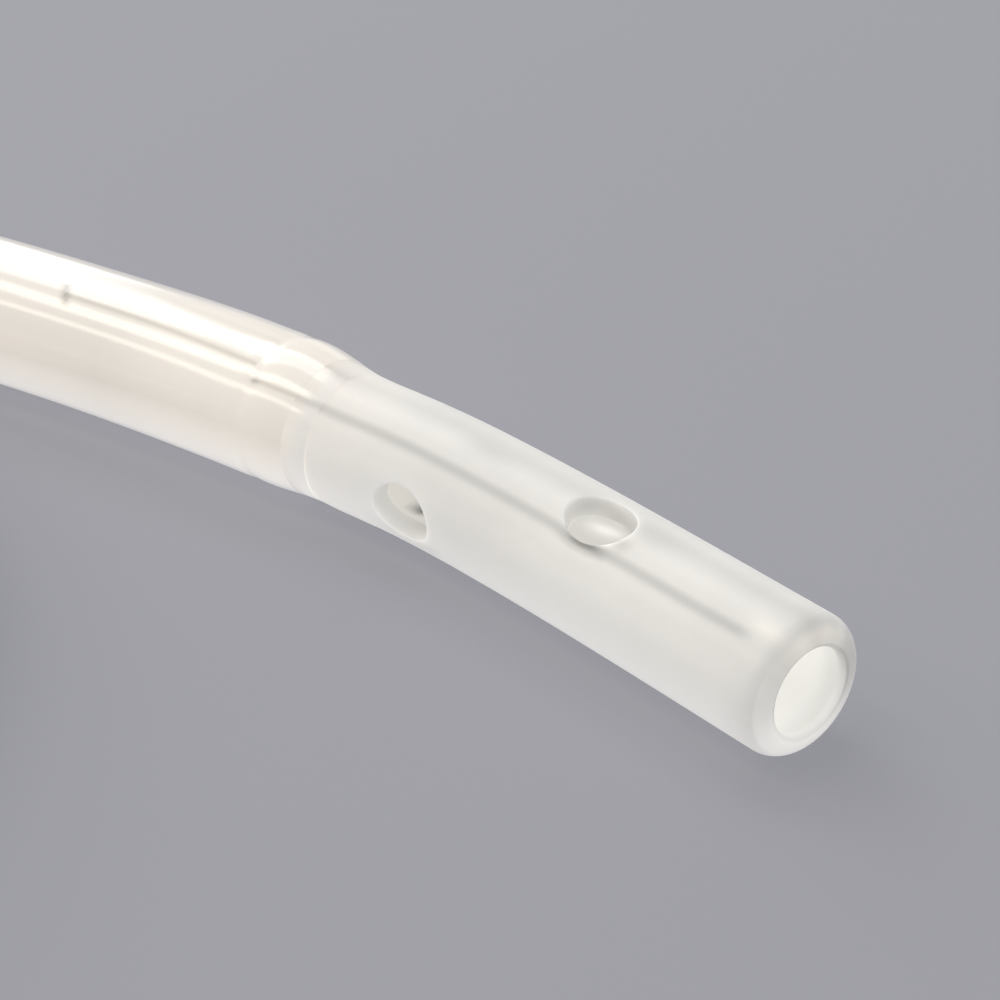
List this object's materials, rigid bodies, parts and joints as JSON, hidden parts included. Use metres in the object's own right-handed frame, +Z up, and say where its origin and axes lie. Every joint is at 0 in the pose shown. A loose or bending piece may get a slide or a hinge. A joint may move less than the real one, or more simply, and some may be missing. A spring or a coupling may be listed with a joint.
{
  "type": "gastric calibration tube",
  "caption": "Silicone gastric calibration tube with an open rounded tip, side eyes, a deflated balloon sleeve and a funnel with an inflation arm, lying coiled.",
  "frame": {"origin": "on the floor under the middle of the whole tube as it lies", "axes": "+X along the straight tip, out of its open end; +Z up from the floor it lies on"},
  "size_m": [0.1877, 0.1861, 0.0182],
  "materials": {
    "silicone_shaft": "translucent milky silicone, matte satin",
    "silicone_balloon": "thin glossy translucent silicone",
    "silicone_adhesive": "glossy translucent silicone adhesive",
    "silicone_funnel": "moulded translucent silicone, satin",
    "clear_plastic": "clear rigid plastic"
  },
  "bodies": {
    "root": {"shaft": "silicone_shaft", "balloon": "silicone_balloon", "distal_bond": "silicone_adhesive", "proximal_bond": "silicone_adhesive", "funnel": "silicone_funnel", "luer_port": "clear_plastic"}
  },
  "joints": []
}
